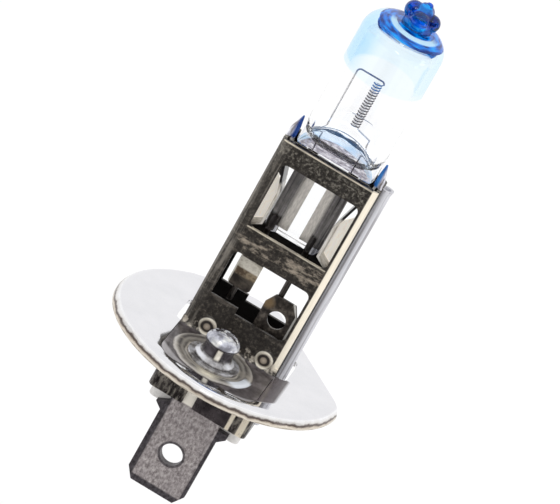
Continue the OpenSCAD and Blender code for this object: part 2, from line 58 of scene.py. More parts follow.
GLASS_LOW, GLASS_HIGH = box_mm("quartz_envelope")
TIP_LOW, TIP_HIGH = box_mm("exhaust_tip")
SLEEVE_LOW, SLEEVE_HIGH = box_mm("holder_sleeve")
COIL_LOW, COIL_HIGH = box_mm("filament_coil")
LEG_TOP = box_mm("long_filament_leg")[1].z
RIVET_LOW, RIVET_HIGH = box_mm("contact_rivet")
WASHER_TOP = box_mm("rivet_washer")[1].z
FLANGE_LOW, FLANGE_HIGH = box_mm("mounting_flange")
TAB_END = box_mm("ground_tab")[0].z
STRIP_LOW, STRIP_HIGH = box_mm("contact_strip")
BLOCK_LOW, BLOCK_HIGH = box_mm("insulator_block")
BAND_END = box_mm("insulator_band")[0].z
BLADE_END = box_mm("blade_terminal")[0].z

# Sleeve: its walls, its windows and the middle of its foot
SLEEVE_HALF_W = -SLEEVE_LOW.x
SLEEVE_FRONT = -SLEEVE_HIGH.y
SLEEVE_SHEET = 0.35
SLEEVE_CORNER_R = 0.65
SLEEVE_TOP = SLEEVE_HIGH.z - 0.15
LIP_DEPTH = 0.95
WINDOW_LEFT, WINDOW_RIGHT = -4.0, 4.4
LOWER_SILL, LOWER_HEAD = 3.5, 9.35
UPPER_SILL, UPPER_HEAD = 12.2, 19.5
DISH_PLACES = (-2.72, 3.62)
DISH_Z = 1.05
DISH_R = 0.9
FOOT_MIDDLE = (0.6, -3.3, 0)

# Glass: the round bulb, its slanted lower faces, its bore and the flat pinch
BULB_R = GLASS_HIGH.x
BULB_WALL = 0.85
BORE_R = BULB_R - BULB_WALL
BORE_END_R = 1.3
DOME_TOP = GLASS_HIGH.z
DOME_R = 2.2
PINCH_BASE = GLASS_LOW.z
PINCH_HALF_W = 2.95
PINCH_HALF_T = 1.0
PINCH_GROOVE = 0.35
SHOULDER_Z = SLEEVE_TOP + 0.05
SHOULDER_R = 0.4
SHOULDER_SLOPE = 1.23
SHOULDER_WALL = BULB_WALL * math.hypot(1, 1 / SHOULDER_SLOPE)
SLANT = (0, 1, 1 / SHOULDER_SLOPE)
ROUND_Z = SHOULDER_Z + (BULB_R - SHOULDER_R - PINCH_HALF_T) * SHOULDER_SLOPE
BORE_LOW = SHOULDER_Z + BULB_WALL + 0.2
BORE_TOP = DOME_TOP - 1.35
COAT_EDGE = DOME_TOP - 5.75
CAP_X = 0.42
CAP_LOW = BORE_TOP + 0.3
TIP_X = (TIP_LOW.x + TIP_HIGH.x) / 2

# Rivet and blade
RIVET_X = (RIVET_LOW.x + RIVET_HIGH.x) / 2
RIVET_Y = (RIVET_LOW.y + RIVET_HIGH.y) / 2
BLADE_MIDDLE = (BLOCK_LOW.x + BLOCK_HIGH.x) / 2
BLADE_HALF_W = 3.15
BLADE_HOLE_Z = -12.4
BLADE_HOLE_R = 1.15


# ---------------------------------------------------------------- camera, light and floor

def place_camera():
    """Looks down a little from the front, with the lamp leaning to the right in the picture."""
    turn, lift, roll = math.radians(3.53), math.radians(23.2), math.radians(29.5)
    distance = 363.3 * MM
    target = Vector((-0.287, 0, 10.6)) * MM
    back = Vector((math.sin(turn) * math.cos(lift), -math.cos(turn) * math.cos(lift), math.sin(lift)))
    level = Vector((math.cos(turn), math.sin(turn), 0))
    rise = back.cross(level)
    right = math.cos(roll) * level + math.sin(roll) * rise
    up = math.cos(roll) * rise - math.sin(roll) * level
    camera_data = bpy.data.cameras.new("camera")
    camera_data.lens = 244.6
    camera_data.sensor_width = 36
    camera_data.clip_start = 0.01
    camera = bpy.data.objects.new("camera", camera_data)
    bpy.context.scene.collection.objects.link(camera)
    turned = Matrix((right, up, back)).transposed().to_4x4()
    camera.matrix_world = Matrix.Translation(target + distance * back) @ turned
    bpy.context.scene.camera = camera


def stage_sheet(name, size, centre, tilt, material, glossy_only=False):
    """A flat sheet of the set: the floor, or a card that only shows in reflections."""
    bm = bmesh.new()
    bmesh.ops.create_grid(bm, x_segments=1, y_segments=1, size=0.5)
    bmesh.ops.scale(bm, vec=(size[0], size[1], 1), verts=bm.verts)
    upright = Matrix.Rotation(math.radians(tilt), 3, "X")
    bmesh.ops.rotate(bm, cent=(0, 0, 0), matrix=upright, verts=bm.verts)
    bmesh.ops.translate(bm, vec=centre, verts=bm.verts)
    mesh = bpy.data.meshes.new(name)
    bm.to_mesh(mesh)
    bm.free()
    sheet = bpy.data.objects.new(name, mesh)
    bpy.context.scene.collection.objects.link(sheet)
    mesh.materials.append(material)
    if glossy_only:
        hide_from_all_but_reflections(sheet)


def hide_from_all_but_reflections(card):
    """Leaves a card visible to glossy rays only."""
    card.visible_camera = False
    card.visible_shadow = False
    card.visible_diffuse = False
    card.visible_transmission = False


def flat_material(name, colour):
    """A plain matt colour for the set."""
    material = bpy.data.materials.new(name)
    material.use_nodes = True
    shader = material.node_tree.nodes["Principled BSDF"]
    shader.inputs["Base Color"].default_value = (*colour, 1)
    shader.inputs["Roughness"].default_value = 0.9
    shader.inputs["Specular IOR Level"].default_value = 0.1
    return material


def soft_light(name, size, place, aim, power):
    """A rectangular lamp that points from place to aim."""
    light_data = bpy.data.lights.new(name, "AREA")
    light_data.shape = "RECTANGLE"
    light_data.size, light_data.size_y = size
    light_data.energy = power
    light = bpy.data.objects.new(name, light_data)
    bpy.context.scene.collection.objects.link(light)
    light.location = place
    light.rotation_euler = (Vector(aim) - Vector(place)).to_track_quat("-Z", "Y").to_euler()
    light.visible_camera = False


def stage_wall(material, radius, low, high, start, end):
    """A curved dark screen round the front of the set that only shows in reflections."""
    bm = bmesh.new()
    verts = [bm.verts.new((0, -radius, low)), bm.verts.new((0, -radius, high))]
    edge = bm.edges.new(verts)
    bmesh.ops.rotate(bm, cent=(0, 0, 0), matrix=Matrix.Rotation(math.radians(start), 3, "Z"), verts=verts)
    bmesh.ops.spin(bm, geom=verts + [edge], cent=(0, 0, 0), axis=(0, 0, 1), dvec=(0, 0, 0),
                   angle=math.radians(end - start), steps=32, use_merge=False)
    mesh = bpy.data.meshes.new("dark_screen")
    bm.to_mesh(mesh)
    bm.free()
    wall = bpy.data.objects.new("dark_screen", mesh)
    bpy.context.scene.collection.objects.link(wall)
    mesh.materials.append(material)
    hide_from_all_but_reflections(wall)


def build_stage():
    """White surroundings and floor, two soft lamps, and dark cards that the metal mirrors."""
    scene = bpy.context.scene
    scene.view_settings.view_transform = "Standard"
    world = bpy.data.worlds.new("studio")
    world.use_nodes = True
    world.node_tree.nodes["Background"].inputs["Color"].default_value = (1, 1, 1, 1)
    world.node_tree.nodes["Background"].inputs["Strength"].default_value = 1.05
    scene.world = world
    floor_drop = 0.03
    floor_z = BLADE_END * MM - floor_drop
    stage_sheet("floor", (4, 4), (0, 0, floor_z), 0, flat_material("floor_white", (0.97, 0.97, 0.97)))
    dark = flat_material("dark_card", (0.075, 0.066, 0.06))
    stage_sheet("front_low_card", (0.2, 0.5), (0, -0.285, floor_z + 0.002), 0, dark, glossy_only=True)
    stage_sheet("front_card", (0.34, 0.1), (0, -0.535, 0.0), 90, dark, glossy_only=True)
    stage_wall(flat_material("dark_room", (0.05, 0.046, 0.043)), 0.56, 0.012, 0.42, -105, 105)
    soft_light("front_box", (0.07, 0.07), (0.03, -0.28, 0.36), (0, 0, 0), 0.12)
    soft_light("right_box", (0.12, 0.3), (0.5, -0.1, -0.02), (0, 0, 0.005), 0.25)
    scene.cycles.max_bounces = 24
    scene.cycles.transmission_bounces = 24
    scene.cycles.glossy_bounces = 8


# ---------------------------------------------------------------- finishes

class Finish:
    """Small helper that lays out one material's nodes."""

    def __init__(self, name):
        self.material = bpy.data.materials.new(name)
        self.material.use_nodes = True
        self.tree = self.material.node_tree
        self.shader = self.tree.nodes["Principled BSDF"]
        self.place = self.add("ShaderNodeTexCoord").outputs["Object"]

    def add(self, kind, **settings):
        node = self.tree.nodes.new(kind)
        for key, value in settings.items():
            setattr(node, key, value)
        return node

    def link(self, source, target):
        self.tree.links.new(source, target)

    def set(self, **values):
        for key, value in values.items():
            self.shader.inputs[key.replace("_", " ")].default_value = value

    def feed(self, value, target):
        """Links a socket to a target, or sets the target to a plain value or colour."""
        if isinstance(value, bpy.types.NodeSocket):
            self.link(value, target)
        else:
            target.default_value = (*value, 1) if isinstance(value, tuple) else value

    def mapped(self, scale, turn=(0, 0, 0)):
        mapping = self.add("ShaderNodeMapping")
        mapping.inputs["Scale"].default_value = scale
        mapping.inputs["Rotation"].default_value = turn
        self.link(self.place, mapping.inputs["Vector"])
        return mapping.outputs["Vector"]

    def coordinate(self, axis, vector=None):
        """One coordinate in metres, of the surface point unless another vector is given."""
        split = self.add("ShaderNodeSeparateXYZ")
        self.link(vector or self.place, split.inputs["Vector"])
        return split.outputs[axis]

    def arithmetic(self, operation, *values):
        """One step of arithmetic on sockets or plain numbers."""
        step = self.add("ShaderNodeMath", operation=operation)
        for value, target in zip(values, step.inputs):
            self.feed(value, target)
        return step.outputs["Value"]

    def times(self, first, second):
        """Product of two numbers, which joins two masks."""
        return self.arithmetic("MULTIPLY", first, second)

    def greatest(self, *values):
        """The largest of several numbers."""
        best = values[0]
        for value in values[1:]:
            best = self.arithmetic("MAXIMUM", best, value)
        return best

    def magnitude(self, axis):
        """Distance from the lamp's middle plane, measured along that axis."""
        return self.arithmetic("ABSOLUTE", self.coordinate(axis))

    def noise(self, grain_mm, detail=3.0, rough=0.55, stretch=(1, 1, 1), turn=(0, 0, 0)):
        """Noise whose blobs are about grain_mm across, drawn out along the axes with small stretch."""
        noise = self.add("ShaderNodeTexNoise")
        noise.inputs["Scale"].default_value = 1 / (grain_mm * MM)
        noise.inputs["Detail"].default_value = detail
        noise.inputs["Roughness"].default_value = rough
        self.link(self.mapped(stretch, turn), noise.inputs["Vector"])
        return noise.outputs["Fac"]

    def ramp(self, source, stops):
        """Colours at their places between 0 and 1, blended in between."""
        ramp = self.add("ShaderNodeValToRGB")
        elements = ramp.color_ramp.elements
        while len(elements) < len(stops):
            elements.new(0.5)
        for element, (at, colour) in zip(elements, stops):
            element.position = at
            element.color = (*colour, 1)
        self.link(source, ramp.inputs["Fac"])
        return ramp.outputs["Color"]

    def spread(self, source, low, high, start=0.3, end=0.7):
        """Maps start to low and end to high, and holds both beyond."""
        spread = self.add("ShaderNodeMapRange")
        spread.inputs["From Min"].default_value = start
        spread.inputs["From Max"].default_value = end
        spread.inputs["To Min"].default_value = low
        spread.inputs["To Max"].default_value = high
        self.link(source, spread.inputs["Value"])
        return spread.outputs["Result"]

    def past(self, distance, start_mm, end_mm):
        """0 up to start_mm and 1 from end_mm on; the other way round where start_mm is the larger."""
        return self.spread(distance, 0, 1, start_mm * MM, end_mm * MM)

    def along(self, axis, start_mm, end_mm):
        """0 before start_mm on that axis and 1 beyond end_mm."""
        return self.past(self.coordinate(axis), start_mm, end_mm)

    def between(self, axis, low_mm, high_mm, soft_mm=0.05):
        """1 between low_mm and high_mm on that axis and 0 outside."""
        return self.ring(self.coordinate(axis), low_mm, high_mm, soft_mm)

    def ring(self, distance, inner_mm, outer_mm, soft_mm=0.05):
        """1 where the distance lies between the two values."""
        return self.times(self.past(distance, inner_mm - soft_mm, inner_mm + soft_mm),
                          self.past(distance, outer_mm + soft_mm, outer_mm - soft_mm))

    def reach(self, centre_mm, stretch=(1, 1, 1)):
        """Distance in metres from a centre, after stretching each axis; a 0 leaves that axis out."""
        moved = self.add("ShaderNodeVectorMath", operation="SUBTRACT")
        self.link(self.place, moved.inputs[0])
        moved.inputs[1].default_value = tuple(c * MM for c in centre_mm)
        scaled = self.add("ShaderNodeVectorMath", operation="MULTIPLY")
        self.link(moved.outputs["Vector"], scaled.inputs[0])
        scaled.inputs[1].default_value = stretch
        size = self.add("ShaderNodeVectorMath", operation="LENGTH")
        self.link(scaled.outputs["Vector"], size.inputs[0])
        return size.outputs["Value"]

    def near_plane(self, point_mm, slope, width_mm):
        """1 within width_mm of the plane through a point."""
        moved = self.add("ShaderNodeVectorMath", operation="SUBTRACT")
        self.link(self.place, moved.inputs[0])
        moved.inputs[1].default_value = tuple(c * MM for c in point_mm)
        off = self.add("ShaderNodeVectorMath", operation="DOT_PRODUCT")
        self.link(moved.outputs["Vector"], off.inputs[0])
        off.inputs[1].default_value = slope
        return self.past(self.arithmetic("ABSOLUTE", off.outputs["Value"]), width_mm, width_mm * 0.8)

    def blend(self, factor, first, second):
        """Blends two plain numbers."""
        blend = self.add("ShaderNodeMix", data_type="FLOAT")
        for value, target in zip((factor, first, second), [i for i in blend.inputs if i.enabled]):
            self.feed(value, target)
        return [o for o in blend.outputs if o.enabled][0]

    def mix(self, factor, first, second):
        """Blends two colours."""
        mix = self.add("ShaderNodeMix", data_type="RGBA")
        for value, name in ((factor, "Factor"), (first, "A"), (second, "B")):
            self.feed(value, [i for i in mix.inputs if i.name == name and i.enabled][0])
        return [o for o in mix.outputs if o.enabled][0]

    def colour(self, tone):
        """Gives the finished tone to the shader."""
        self.link(tone, self.shader.inputs["Base Color"])

    def bump(self, height, depth_mm, strength=1.0):
        """A fine relief on the surface."""
        bump = self.add("ShaderNodeBump")
        bump.inputs["Distance"].default_value = depth_mm * MM
        bump.inputs["Strength"].default_value = strength
        self.link(height, bump.inputs["Height"])
        self.link(bump.outputs["Normal"], self.shader.inputs["Normal"])


def sleeve_walls(f, speck, cloud, smear):
    """Dark brown-grey speckle that paints the dark room mirrored in the nickel over the metal's grain, with
    paler grains near the top and rubbed smears below.
    """
    # painted reflection: this dark speckled tone stands for the dark room mirrored in the nickel, with the
    # grain on top
    tone = f.ramp(speck, [(0.36, (0.012, 0.009, 0.007)), (0.48, (0.028, 0.023, 0.019)),
                          (0.58, (0.065, 0.056, 0.046)), (0.68, (0.20, 0.175, 0.14))])
    tone = f.mix(f.spread(cloud, 0, 0.4, 0.4, 0.65), tone, (0.045, 0.04, 0.036))
    lintel = f.between("Z", UPPER_HEAD + 0.3, SLEEVE_TOP - 0.05, 0.5)
    tone = f.mix(f.times(lintel, f.spread(speck, 0, 0.8, 0.5, 0.62)), tone, (0.27, 0.25, 0.21))
    rubbed = f.spread(f.noise(0.85, 6, 0.75, (0.5, 1, 1.3), (0, 0.3, 0)), 0, 0.95, 0.5, 0.63)
    bridge = f.between("Z", LOWER_HEAD + 0.25, UPPER_SILL - 0.3, 0.3)
    tone = f.mix(f.times(bridge, rubbed), tone, (0.40, 0.34, 0.27))
    scored = f.spread(f.noise(0.5, 3, 0.6, (1, 1, 0.04), (0, 0.6, 0)), 0, 0.9, 0.6, 0.66)
    bridge_right = f.times(f.between("Z", LOWER_HEAD + 0.35, UPPER_SILL - 0.2, 0.3),
                           f.between("X", 1.5, WINDOW_RIGHT, 0.3))
    tone = f.mix(f.times(bridge_right, scored), tone, (0.50, 0.45, 0.38))
    lower = f.between("Z", LOWER_SILL - 0.9, LOWER_HEAD + 0.25, 0.4)
    return f.mix(f.times(lower, f.spread(smear, 0, 0.5, 0.56, 0.68)), tone, (0.18, 0.155, 0.13))


def sleeve_edges(f, tone, streak):
    """A worn left border, painted shade that turns the inner faces black, and painted highlights on the edges
    of the top, the lip and the upper sill.
    """
    border = f.times(f.between("X", 0.05 - SLEEVE_HALF_W, WINDOW_LEFT - 0.15, 0.08),
                     f.spread(streak, 0.05, 0.65, 0.42, 0.6))
    tone = f.mix(border, tone, (0.33, 0.30, 0.26))
    # painted shade: the inner faces of the walls are coloured near black
    inner_x = SLEEVE_HALF_W - SLEEVE_SHEET
    inner_y = -SLEEVE_FRONT - SLEEVE_SHEET
    inside = f.times(f.past(f.magnitude("Y"), inner_y + 0.08, inner_y + 0.05),
                     f.past(f.magnitude("X"), inner_x - 0.06, inner_x - 0.12))
    tone = f.mix(inside, tone, (0.012, 0.010, 0.010))
    # painted highlights: the edges of the top, the lip and the upper sill get a pale cream
    top_edge = f.times(f.between("Z", SLEEVE_TOP - 0.12, SLEEVE_TOP + 0.05, 0.02),
                       f.between("Y", SLEEVE_FRONT - 0.1, SLEEVE_FRONT + 0.14, 0.03))
    lip_y = SLEEVE_FRONT + LIP_DEPTH
    lip_edge = f.times(f.between("Z", SLEEVE_TOP - 0.45, SLEEVE_TOP + 0.05, 0.02),
                       f.between("Y", lip_y - 0.11, lip_y + 0.05, 0.03))
    sill = f.times(f.between("Z", UPPER_SILL - 0.1, UPPER_SILL + 0.04, 0.03),
                   f.between("Y", SLEEVE_FRONT - 0.1, SLEEVE_FRONT + 0.4, 0.03))
    sill = f.times(sill, f.between("X", WINDOW_LEFT - 0.1, WINDOW_RIGHT + 0.1))
    uneven = f.spread(f.noise(0.6, 3, 0.6, (0.3, 1, 1)), 0.45, 1.0, 0.35, 0.6)
    return f.mix(f.times(f.greatest(top_edge, lip_edge, sill), uneven), tone, (0.72, 0.65, 0.52))


def sleeve_dishes(f, tone):
    """The lower front wall: pale scuffs, and painted highlights and shade in the bowl of each round dish."""
    front = f.along("Y", SLEEVE_FRONT + 0.1, SLEEVE_FRONT)
    patch = f.spread(f.noise(0.8, 4, 0.65, (1, 1, 0.7)), 0.0, 0.9, 0.5, 0.6)
    tone = f.mix(f.times(f.times(front, f.along("Z", 1.3, 1.0)), patch), tone, (0.62, 0.56, 0.47))
    # painted light and shade: each bowl gets a pale centre, a dark ring and a bright cream rim
    rim = DISH_R + 0.05
    for x in DISH_PLACES:
        away = f.reach((x, 0, DISH_Z), (1, 0, 1))
        bowl = f.ramp(f.past(away, 0, rim), [
            (0.0, (0.60, 0.52, 0.42)), (0.28, (0.42, 0.35, 0.28)), (0.42, (0.035, 0.03, 0.028)),
            (0.62, (0.05, 0.04, 0.035)), (0.76, (0.66, 0.60, 0.50)), (0.9, (0.80, 0.75, 0.64)),
            (1.0, (0.08, 0.07, 0.06))])
        tone = f.mix(f.times(front, f.past(away, rim, DISH_R)), tone, bowl)
    return tone


def sleeve_foot(f, cloud, smear):
    """The foot, with light and shade painted in: wavy rings pressed round the rivet as pale and dark bands, a
    blue-white glint and a warm highlight, a dark painted reflection on the plate beyond and pale corners.
    """
    away = f.reach((RIVET_X, RIVET_Y, 0), (1, 1, 0))
    wavy = f.arithmetic("ADD", away, f.spread(cloud, -0.12 * MM, 0.12 * MM))
    # painted light and shade: the pressed rings round the rivet are drawn as pale and dark bands
    rings = f.ramp(f.past(wavy, 2.6, 4.8), [
        (0.0, (0.07, 0.06, 0.055)), (0.1, (0.66, 0.61, 0.54)), (0.18, (0.14, 0.13, 0.12)),
        (0.32, (0.42, 0.39, 0.35)), (0.44, (0.10, 0.09, 0.09)), (0.58, (0.30, 0.28, 0.25)),
        (0.68, (0.52, 0.49, 0.46)), (0.76, (0.07, 0.06, 0.06)), (1.0, (0.085, 0.075, 0.077))])
    # painted reflection: the plate beyond the rings is dark with cloudy tones
    dark_reflection = f.ramp(cloud, [
        (0.38, (0.035, 0.028, 0.03)), (0.5, (0.09, 0.078, 0.08)), (0.64, (0.17, 0.15, 0.155))])
    tone = f.mix(f.past(away, 4.3, 4.4), rings, dark_reflection)
    smears = f.times(f.spread(smear, 0, 0.6, 0.5, 0.62), f.past(away, 4.3, 4.2))
    tone = f.mix(smears, tone, (0.46, 0.42, 0.36))
    # painted highlight: a blue-white glint on the front right of the outer ring
    glint = f.times(f.between("X", 2.0, 4.2, 0.3), f.between("Y", -8.9, -6.3, 0.3))
    glint = f.times(glint, f.ring(away, 3.5, 4.35))
    tone = f.mix(glint, tone, (0.78, 0.82, 0.88))
    # painted highlight: a warm pale patch on the front of the rings
    warm_highlight = f.times(f.between("X", -1.0, 0.9, 0.5), f.along("Y", -7.6, -8.1))
    warm_highlight = f.times(warm_highlight, f.ring(away, 2.7, 4.0, 0.3))
    tone = f.mix(warm_highlight, tone, (0.80, 0.74, 0.60))
    # painted reflection: the corners of the foot beyond are pale grey like the flange around them
    beyond = f.past(f.reach(FOOT_MIDDLE, (1, 1, 0)), 7.2, 7.5)
    return f.mix(beyond, tone, (0.42, 0.40, 0.41))


def sleeve_plate():
    """Worn nickel on the sleeve with painted light and shade: speckled walls, a cream painted highlight on the
    front right corner, streaked seam and ringed foot.
    """
    f = Finish("worn_nickel_painted_reflection")
    speck = f.noise(0.26, 5, 0.75)
    cloud = f.noise(2.2, 4, 0.65, (1, 1, 0.8))
    smear = f.noise(1.3, 3, 0.6, (0.35, 1, 1.6), (0, 0.35, 0))
    streak = f.noise(0.5, 3, 0.6, (1, 1, 0.08))
    tone = sleeve_edges(f, sleeve_walls(f, speck, cloud, smear), streak)
    # painted highlight: a pale cream streak down the rounded front right corner
    corner_x = SLEEVE_HALF_W - SLEEVE_CORNER_R
    corner = f.times(f.between("Y", SLEEVE_FRONT - 0.05, SLEEVE_FRONT + 0.48, 0.04),
                     f.along("X", corner_x + 0.02, corner_x + 0.1))
    tone = f.mix(f.times(corner, f.spread(streak, 0.8, 1.0)), tone, (0.95, 0.87, 0.72))
    seam = f.along("X", SLEEVE_HALF_W + 0.02, SLEEVE_HALF_W + 0.06)
    lines = f.noise(0.3, 2, 0.5, (1, 1, 0.02))
    lines = f.ramp(lines, [(0.36, (0.34, 0.33, 0.35)), (0.5, (0.66, 0.66, 0.70))])
    tone = sleeve_dishes(f, f.mix(seam, tone, lines))
    # painted shade along the crease where the front wall meets the foot
    crease_shade = f.times(f.along("Y", SLEEVE_FRONT - 0.4, SLEEVE_FRONT - 0.5), f.between("Z", 0.02, 0.3, 0.04))
    tone = f.mix(crease_shade, tone, (0.03, 0.026, 0.026))
    foot = f.times(f.along("Z", 0.22, 0.18), f.along("Y", SLEEVE_FRONT - 0.2, SLEEVE_FRONT - 0.4))
    f.colour(f.mix(foot, tone, sleeve_foot(f, cloud, smear)))
    f.link(f.blend(foot, f.spread(speck, 0.55, 0.35), 0.3), f.shader.inputs["Roughness"])
    f.link(f.blend(seam, f.blend(corner, 0.25, 0.0), 0.0), f.shader.inputs["Metallic"])
    scratch = f.noise(0.3, 2, 0.5, (1, 1, 0.05), (0.3, 0.55, 0.2))
    f.bump(f.mix(0.5, speck, scratch), 0.008)
    return f.material


def flange_plate():
    """Bright nickel: clear at the rim, a dim painted reflection of the sleeve round the foot, and a lower lip
    coloured in bands by height.
    """
    f = Finish("bright_nickel")
    cloud = f.noise(3.0, 4, 0.6)
    fine = f.noise(0.12, 3, 0.6)
    tone = f.mix(0.25, f.ramp(cloud, [(0.32, (0.74, 0.74, 0.765)), (0.66, (0.80, 0.795, 0.82))]),
                 f.ramp(fine, [(0.3, (0.70, 0.70, 0.72)), (0.7, (0.82, 0.82, 0.84))]))
    # painted reflection: a dark patch round the foot stands for the sleeve mirrored in the flange
    sleeve_reflection = f.times(f.times(f.between("X", -4.9, 6.75, 0.15), f.between("Y", -9.9, -1.4, 0.1)),
                   f.past(f.reach((0.9, -3.2, 0), (1, 1, 0)), 7.2, 7.0))
    tone = f.mix(sleeve_reflection, tone, f.ramp(cloud, [(0.35, (0.085, 0.072, 0.074)), (0.65, (0.13, 0.11, 0.115))]))
    flange_r = FLANGE_HIGH.y
    rim = f.past(f.reach((0, 0, 0), (1, 1, 0)), flange_r - 0.5, flange_r - 0.4)
    # the lower lip is coloured in bands by height: beige at the bottom, a dark band, then pale grey
    ragged = f.arithmetic("ADD", f.coordinate("Z"), f.spread(f.noise(1.2, 3), -0.12 * MM, 0.12 * MM))
    lip = f.ramp(f.past(ragged, FLANGE_LOW.z, -0.2), [
        (0.0, (0.40, 0.35, 0.29)), (0.12, (0.70, 0.64, 0.55)), (0.3, (0.48, 0.41, 0.34)),
        (0.42, (0.10, 0.08, 0.07)), (0.55, (0.16, 0.13, 0.12)), (0.68, (0.70, 0.68, 0.66)),
        (1.0, (0.86, 0.86, 0.88))])
    f.colour(f.mix(rim, tone, lip))
    f.link(f.blend(sleeve_reflection, f.blend(rim, 1.0, 0.15), 0.0), f.shader.inputs["Metallic"])
    f.link(f.blend(sleeve_reflection, f.spread(cloud, 0.11, 0.07), 0.25), f.shader.inputs["Roughness"])
    f.bump(fine, 0.001)
    return f.material


def spring_plate():
    """Bright strip of the clips: bowed leaves with painted shade above them and cream cheeks behind that glow
    as painted light, and ears with a painted blue reflection on their inner faces.
    """
    f = Finish("spring_strip")
    streak = f.noise(0.5, 3, 0.6, (1, 1, 0.3))
    leaf = f.ramp(streak, [(0.34, (0.50, 0.45, 0.38)), (0.5, (0.80, 0.76, 0.70)), (0.66, (0.92, 0.89, 0.85))])
    leaf_top = 17.3
    inner_x = SLEEVE_HALF_W - SLEEVE_SHEET
    # painted shade: the strip above each leaf, down in the sleeve, is near black
    above_leaf = f.times(f.along("Z", leaf_top - 0.4, leaf_top),
                         f.along("Z", SLEEVE_TOP - 0.45, SLEEVE_TOP - 0.85))
    tone = f.mix(above_leaf, leaf, (0.03, 0.028, 0.03))
    ear = f.along("Z", SLEEVE_TOP - 0.05, SLEEVE_TOP + 0.25)
    inward = f.past(f.magnitude("X"), inner_x - 0.05, inner_x - 0.28)
    # painted reflection: the inner faces of the ears are coloured blue
    blue_reflection = f.ramp(f.noise(0.8, 2, 0.5, (1, 1, 0.4)), [(0.4, (0.01, 0.06, 0.30)), (0.6, (0.03, 0.22, 0.62))])
    pale = f.ramp(streak, [(0.38, (0.30, 0.27, 0.28)), (0.5, (0.72, 0.72, 0.80)), (0.6, (0.92, 0.92, 0.96))])
    tone = f.mix(ear, tone, f.mix(inward, pale, blue_reflection))
    # painted light: the cream cheeks behind the leaves glow through emission
    glowing_cheek = f.times(f.along("Y", 0.7, 0.8), f.past(f.magnitude("X"), PINCH_HALF_W + 0.3, PINCH_HALF_W + 0.4))
    glowing_cheek = f.times(glowing_cheek, f.along("Z", leaf_top + 0.1, leaf_top - 0.1))
    cream = f.mix(f.spread(streak, 0, 0.5), (0.95, 0.90, 0.80), (0.55, 0.50, 0.46))
    f.colour(tone)
    f.link(f.mix(glowing_cheek, (0.0, 0.0, 0.0), cream), f.shader.inputs["Emission Color"])
    f.set(Metallic=0.25, Roughness=0.25, Emission_Strength=0.6)
    f.bump(streak, 0.004)
    return f.material


def ground_plate():
    """Tinted strip: cream above, straw brown in the middle and dark below, with a painted highlight on its
    left edge.
    """
    f = Finish("ground_strip")
    cloud = f.noise(0.7, 4, 0.65, (0.6, 1, 1))
    cream = f.ramp(cloud, [
        (0.38, (0.50, 0.46, 0.38)), (0.52, (0.78, 0.74, 0.65)), (0.64, (0.60, 0.56, 0.48))])
    straw = f.ramp(cloud, [
        (0.4, (0.10, 0.07, 0.045)), (0.55, (0.34, 0.27, 0.18)), (0.66, (0.16, 0.12, 0.08))])
    dark = f.ramp(cloud, [(0.4, (0.025, 0.02, 0.018)), (0.62, (0.09, 0.075, 0.06))])
    low, left = TAB_END, -3.3
    tone = f.mix(f.along("Z", low + 2.0, low + 2.15), straw, cream)
    tone = f.mix(f.along("Z", low + 1.45, low + 1.2), tone, dark)
    tone = f.mix(f.between("Z", low + 3.2, low + 3.7), tone, dark)
    # painted highlight along the left edge
    tone = f.mix(f.along("X", left + 0.18, left + 0.1), tone, (0.80, 0.76, 0.68))
    f.colour(tone)
    f.set(Metallic=0.2, Roughness=0.3)
    f.bump(cloud, 0.004)
    return f.material


def contact_plate():
    """Heat-darkened strip with a brown bloom and a painted highlight on its right edge and sloping end."""
    f = Finish("contact_strip_steel")
    cloud = f.noise(0.7, 4, 0.65)
    tone = f.ramp(cloud, [
        (0.36, (0.022, 0.018, 0.016)), (0.5, (0.05, 0.042, 0.036)), (0.64, (0.14, 0.12, 0.10))])
    bloom = f.reach((STRIP_LOW.x + 0.35, 0, STRIP_HIGH.z - 1.1), (1, 0, 1))
    bloom = f.spread(bloom, 0.9, 0, 0.3 * MM, 0.8 * MM)
    tone = f.mix(bloom, tone, (0.22, 0.15, 0.08))
    # painted highlight on the right edge and its sloping end
    right = STRIP_HIGH.x
    slope = f.near_plane((right, 0, STRIP_HIGH.z - 1.15), (0.82, 0, 0.57), 0.14)
    tone = f.mix(f.greatest(f.along("X", right - 0.25, right - 0.15), slope), tone, (0.72, 0.70, 0.66))
    f.colour(tone)
    f.set(Metallic=0.2, Roughness=0.25)
    f.bump(cloud, 0.004)
    return f.material


